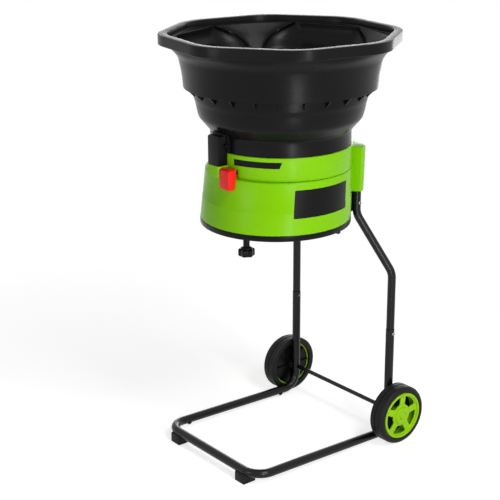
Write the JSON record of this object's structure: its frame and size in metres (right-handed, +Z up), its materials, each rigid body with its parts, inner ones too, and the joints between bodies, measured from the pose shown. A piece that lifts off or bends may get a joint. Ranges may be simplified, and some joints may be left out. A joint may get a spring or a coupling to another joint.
{
  "type": "leaf shredder",
  "caption": "Leaf shredder with an octagonal hopper over a round line-cutter housing, on a bent-tube stand with two rear wheels and front block feet.",
  "frame": {"origin": "on the floor under the middle of the hopper's octagonal mouth; the cutter's axis passes through it", "axes": "+Z up, -Y to the front where the switch and the crossbar are, +Y to the wheels, +X to the machine's side with the dark label panel"},
  "size_m": [0.5718, 0.5745, 1.0525],
  "materials": {
    "black_plastic": "fine moulded satin black plastic",
    "lime_plastic": "lime green moulded plastic, satin gloss",
    "red_plastic": "red moulded plastic, satin gloss",
    "black_paint": "satin black powder coat on steel",
    "rubber": "matte black rubber",
    "tyre": "hard black tyre with a fine tread",
    "steel": "zinc-plated steel",
    "bush": "plain nylon",
    "motor_core": "laminated iron with copper windings",
    "cutting_line": "green nylon line"
  },
  "bodies": {
    "stand": {"strip_inset": "black_plastic", "label_plate": "black_plastic", "bottom_ring": "black_plastic", "motor_mount": "black_plastic", "switch_body": "black_plastic", "power_inlet": "black_plastic", "motor_case": "black_plastic", "motor_cap": "black_plastic", "upper_housing": "lime_plastic", "lower_housing": "lime_plastic", "rear_cover": "lime_plastic", "base_frame": "black_paint", "upper_leg_left": "black_paint", "upper_leg_right": "black_paint", "leg_bracket_left": "black_paint", "leg_bracket_right": "black_paint", "front_foot_left": "rubber", "front_foot_right": "rubber", "rail_stud_1": "rubber", "rail_stud_2": "rubber", "rail_stud_3": "rubber", "rail_stud_4": "rubber", "leg_screw_left": "steel", "leg_screw_right": "steel", "leg_bolt_left": "steel", "leg_bolt_right": "steel", "axle": "steel", "axle_washer_left": "steel", "axle_washer_right": "steel", "axle_cap_left": "steel", "axle_cap_right": "steel", "bearing_lower": "steel", "bearing_upper": "steel", "stator": "motor_core"},
    "wheel_left": {"tyre_left": "tyre", "wheel_hub_left": "lime_plastic", "wheel_core_left": "black_plastic", "wheel_bush_left": "bush"},
    "wheel_right": {"tyre_right": "tyre", "wheel_hub_right": "lime_plastic", "wheel_core_right": "black_plastic", "wheel_bush_right": "bush"},
    "rotor": {"rotor_core": "motor_core", "motor_shaft": "steel", "cooling_fan": "black_plastic", "cutter_head": "black_plastic", "cutting_line_1": "cutting_line", "cutting_line_2": "cutting_line", "cutting_line_3": "cutting_line", "cutting_line_4": "cutting_line", "head_nut": "steel"},
    "knob": {"star_knob": "black_plastic"},
    "paddle": {"switch_paddle": "red_plastic"},
    "hopper": {"hopper_upper": "black_plastic", "hopper_lower": "black_plastic", "safety_key": "black_plastic", "key_screw_left": "steel", "key_screw_right": "steel"}
  },
  "joints": [
    {"name": "wheel_left_spin", "type": "hinge", "parent": "stand", "child": "wheel_left", "pos_m": [-0.218, 0.212, 0.0766], "axis": [1, 0, 0], "continuous": true},
    {"name": "wheel_right_spin", "type": "hinge", "parent": "stand", "child": "wheel_right", "pos_m": [0.218, 0.212, 0.0766], "axis": [1, 0, 0], "continuous": true},
    {"name": "rotor_spin", "type": "hinge", "parent": "stand", "child": "rotor", "pos_m": [0, 0, 0.72], "axis": [0, 0, 1], "continuous": true},
    {"name": "knob_turn", "type": "hinge", "parent": "stand", "child": "knob", "pos_m": [0, -0.108, 0.54], "axis": [0, 0, 1], "range_deg": [-1080, 0]},
    {"name": "switch_paddle_pull", "type": "hinge", "parent": "stand", "child": "paddle", "pos_m": [0.032, -0.178, 0.7515], "axis": [-1, 0, 0], "range_deg": [0, 18]},
    {"name": "hopper_lift", "type": "slide", "parent": "stand", "child": "hopper", "axis": [0, 0, 1], "range_m": [0, 0.06]}
  ]
}
